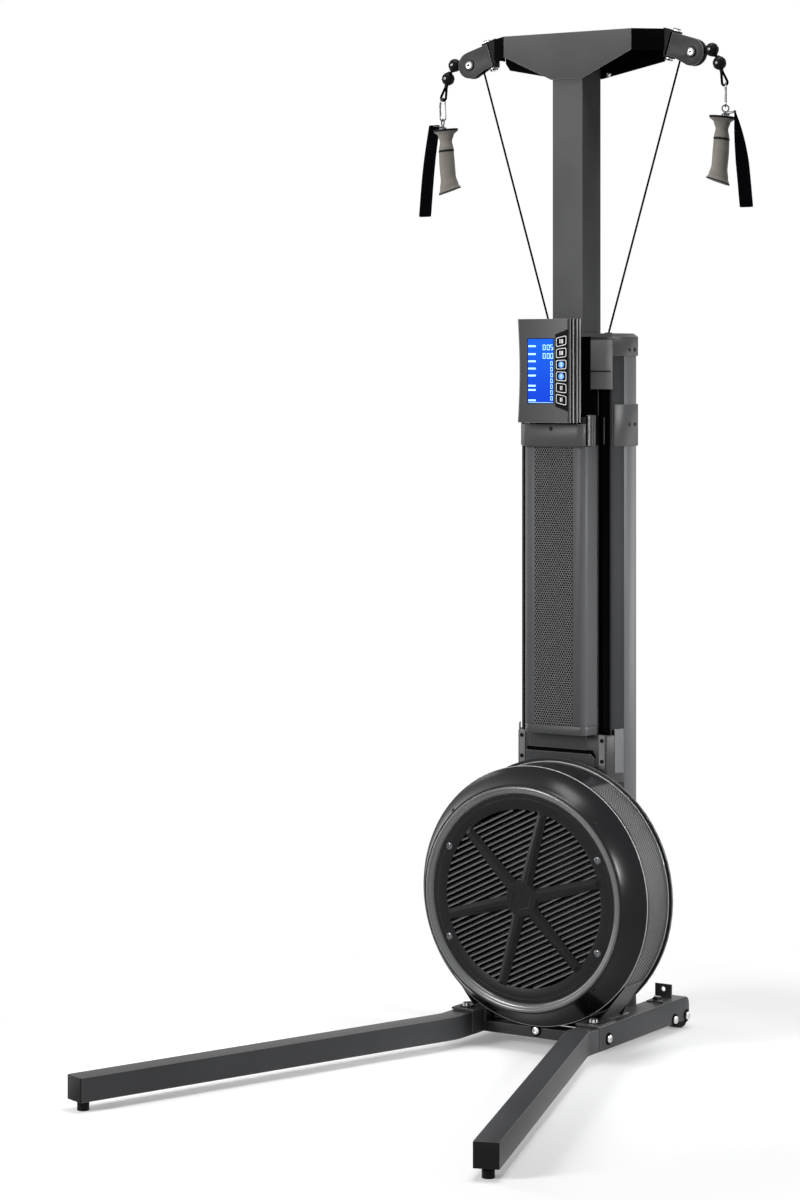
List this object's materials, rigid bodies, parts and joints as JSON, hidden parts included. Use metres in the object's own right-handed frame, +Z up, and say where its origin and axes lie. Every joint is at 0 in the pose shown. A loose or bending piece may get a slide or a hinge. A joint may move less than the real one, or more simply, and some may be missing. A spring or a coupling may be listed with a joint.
{
  "type": "ski trainer machine",
  "caption": "Free-standing ski trainer: mast with swivelling pulleys and handles on cords, tower with console, fan drum brake, low base with splayed legs.",
  "frame": {"origin": "on the floor, below the middle of the outline", "axes": "+Z up, -Y towards the user who faces the console, +X to the user's right"},
  "size_m": [0.9748, 1.3392, 2.1528],
  "materials": {
    "frame_coat": "satin dark graphite powder coat",
    "tower_coat": "satin dark graphite coat",
    "trim_plastic": "fine grain, dark",
    "drum_plastic": "smooth, dark",
    "panel_plastic": "satin dark",
    "mesh": "perforated, dark",
    "display": "blue liquid crystal behind a clear lens",
    "keys": "satin",
    "bright_steel": "turned",
    "chrome": "polished",
    "rubber": "matt",
    "grip": "soft grey-taupe",
    "webbing": "woven black webbing",
    "cord": "braided black cord"
  },
  "bodies": {
    "frame": {"mast_tube": "frame_coat", "crossbar_hood": "frame_coat", "crossbar_back_plate": "frame_coat", "swivel_yoke_left": "frame_coat", "swivel_yoke_right": "frame_coat", "drive_cord_left": "cord", "drive_cord_right": "cord", "tower_body": "tower_coat", "tower_cap": "trim_plastic", "rear_collar": "trim_plastic", "tower_front_plate": "frame_coat", "front_casing": "tower_coat", "grille_strip": "mesh", "casing_foot_cap": "trim_plastic", "casing_collar": "trim_plastic", "recoil_bungee": "rubber", "neck_box": "trim_plastic", "fan_shroud": "drum_plastic", "louvre_panel": "panel_plastic", "mesh_band": "mesh", "fan_back_plate": "frame_coat", "bearing_cartridge": "bright_steel", "front_cross_member": "frame_coat", "base_bar_left": "frame_coat", "base_bar_right": "frame_coat", "wheel_axle": "bright_steel", "leg_left": "frame_coat", "leg_right": "frame_coat", "leg_end_cap_left": "trim_plastic", "leg_end_cap_right": "trim_plastic"},
    "fan": {"fan_rotor": "trim_plastic", "fan_shaft": "bright_steel"},
    "drum_left": {"cord_drum_left": "trim_plastic"},
    "drum_right": {"cord_drum_right": "trim_plastic"},
    "housing_left": {"pulley_housing_left": "trim_plastic"},
    "housing_right": {"pulley_housing_right": "trim_plastic"},
    "pulley_left": {"pulley_wheel_left": "trim_plastic"},
    "pulley_right": {"pulley_wheel_right": "trim_plastic"},
    "stops_left": {"cord_end_left": "rubber"},
    "stops_right": {"cord_end_right": "rubber"},
    "hook_left": {"snap_hook_left": "chrome"},
    "hook_right": {"snap_hook_right": "chrome"},
    "eye_left": {"handle_eye_left": "chrome"},
    "eye_right": {"handle_eye_right": "chrome"},
    "handle_left": {"handle_grip_left": "grip", "wrist_strap_left": "webbing"},
    "handle_right": {"handle_grip_right": "grip", "wrist_strap_right": "webbing"},
    "console": {"console_housing": "trim_plastic", "console_screen": "display"},
    "key_1": {"console_key_1": "keys"},
    "key_2": {"console_key_2": "keys"},
    "key_3": {"console_key_3": "keys"},
    "key_4": {"console_key_4": "keys"},
    "key_5": {"console_key_5": "keys"},
    "key_6": {"console_key_6": "keys"},
    "wheel_left": {"transport_wheel_left": "rubber"},
    "wheel_right": {"transport_wheel_right": "rubber"},
    "foot_left": {"levelling_foot_left": "rubber"},
    "foot_right": {"levelling_foot_right": "rubber"}
  },
  "joints": [
    {"name": "fan_spin", "type": "hinge", "parent": "frame", "child": "fan", "pos_m": [0, 0.3716, 0.321], "axis": [0, 1, 0], "continuous": true},
    {"name": "drum_spin_left", "type": "hinge", "parent": "frame", "child": "drum_left", "pos_m": [0, 0.4556, 0.321], "axis": [0, 1, 0], "range_deg": [0, 1775]},
    {"name": "drum_spin_right", "type": "hinge", "parent": "frame", "child": "drum_right", "pos_m": [0, 0.4906, 0.321], "axis": [0, 1, 0], "range_deg": [-1775, 0]},
    {"name": "housing_swivel_left", "type": "hinge", "parent": "frame", "child": "housing_left", "pos_m": [-0.226, 0.4906, 2.116], "axis": [-0.3007, 0, 0.9537], "range_deg": [-30, 30], "deforming": ["drive_cord_left"]},
    {"name": "housing_swivel_right", "type": "hinge", "parent": "frame", "child": "housing_right", "pos_m": [0.226, 0.4906, 2.116], "axis": [0.3007, 0, 0.9537], "range_deg": [-30, 30], "deforming": ["drive_cord_right"]},
    {"name": "pulley_spin_left", "type": "hinge", "parent": "housing_left", "child": "pulley_left", "pos_m": [-0.27406, 0.4906, 2.09718], "axis": [0, 1, 0], "range_deg": [-2260, 0]},
    {"name": "pulley_spin_right", "type": "hinge", "parent": "housing_right", "child": "pulley_right", "pos_m": [0.27406, 0.4906, 2.09718], "axis": [0, 1, 0], "range_deg": [0, 2260]},
    {"name": "handle_pull_left", "type": "slide", "parent": "housing_left", "child": "stops_left", "axis": [0, 0, -1], "range_m": [0, 1], "stiffness_N_per_m": 12, "springref_m": -0.6},
    {"name": "handle_pull_right", "type": "slide", "parent": "housing_right", "child": "stops_right", "axis": [0, 0, -1], "range_m": [0, 1], "stiffness_N_per_m": 12, "springref_m": -0.6},
    {"name": "hook_swing_left", "type": "hinge", "parent": "stops_left", "child": "hook_left", "pos_m": [-0.35, 0.4906, 2.024], "axis": [0.8387, -0.5446, 0], "range_deg": [-30, 30]},
    {"name": "hook_swing_right", "type": "hinge", "parent": "stops_right", "child": "hook_right", "pos_m": [0.35, 0.4906, 2.024], "axis": [0.8387, 0.5446, 0], "range_deg": [-30, 30]},
    {"name": "eye_swing_left", "type": "hinge", "parent": "hook_left", "child": "eye_left", "pos_m": [-0.35, 0.4906, 1.9787], "axis": [0.5446, 0.8387, 0], "range_deg": [-45, 45]},
    {"name": "eye_swing_right", "type": "hinge", "parent": "hook_right", "child": "eye_right", "pos_m": [0.35, 0.4906, 1.9787], "axis": [0.5446, -0.8387, 0], "range_deg": [-45, 45]},
    {"name": "handle_turn_left", "type": "hinge", "parent": "eye_left", "child": "handle_left", "pos_m": [-0.35, 0.4906, 1.96], "axis": [0, 0, 1], "continuous": true},
    {"name": "handle_turn_right", "type": "hinge", "parent": "eye_right", "child": "handle_right", "pos_m": [0.35, 0.4906, 1.96], "axis": [0, 0, 1], "continuous": true},
    {"name": "console_tilt", "type": "hinge", "parent": "frame", "child": "console", "pos_m": [0, 0.3916, 1.425], "axis": [1, 0, 0], "range_deg": [-20, 2]},
    {"name": "key_press_1", "type": "slide", "parent": "console", "child": "key_1", "axis": [0, 1, 0], "range_m": [0, 0.001], "stiffness_N_per_m": 400},
    {"name": "key_press_2", "type": "slide", "parent": "console", "child": "key_2", "axis": [0, 1, 0], "range_m": [0, 0.001], "stiffness_N_per_m": 400},
    {"name": "key_press_3", "type": "slide", "parent": "console", "child": "key_3", "axis": [0, 1, 0], "range_m": [0, 0.001], "stiffness_N_per_m": 400},
    {"name": "key_press_4", "type": "slide", "parent": "console", "child": "key_4", "axis": [0, 1, 0], "range_m": [0, 0.001], "stiffness_N_per_m": 400},
    {"name": "key_press_5", "type": "slide", "parent": "console", "child": "key_5", "axis": [0, 1, 0], "range_m": [0, 0.001], "stiffness_N_per_m": 400},
    {"name": "key_press_6", "type": "slide", "parent": "console", "child": "key_6", "axis": [0, 1, 0], "range_m": [0, 0.001], "stiffness_N_per_m": 400},
    {"name": "wheel_roll_left", "type": "hinge", "parent": "frame", "child": "wheel_left", "pos_m": [-0.154, 0.6416, 0.028], "axis": [1, 0, 0], "continuous": true},
    {"name": "wheel_roll_right", "type": "hinge", "parent": "frame", "child": "wheel_right", "pos_m": [0.154, 0.6416, 0.028], "axis": [1, 0, 0], "continuous": true},
    {"name": "foot_level_left", "type": "slide", "parent": "frame", "child": "foot_left", "axis": [0, 0, -1], "range_m": [-0.002, 0.015]},
    {"name": "foot_level_right", "type": "slide", "parent": "frame", "child": "foot_right", "axis": [0, 0, -1], "range_m": [-0.002, 0.015]}
  ],
  "couplings": [
    {"joint": "pulley_spin_left", "follows": "handle_pull_left", "rad_per_m": -39.216},
    {"joint": "pulley_spin_right", "follows": "handle_pull_right", "rad_per_m": 39.216},
    {"joint": "drum_spin_left", "follows": "handle_pull_left", "rad_per_m": 30.769},
    {"joint": "drum_spin_right", "follows": "handle_pull_right", "rad_per_m": -30.769}
  ]
}
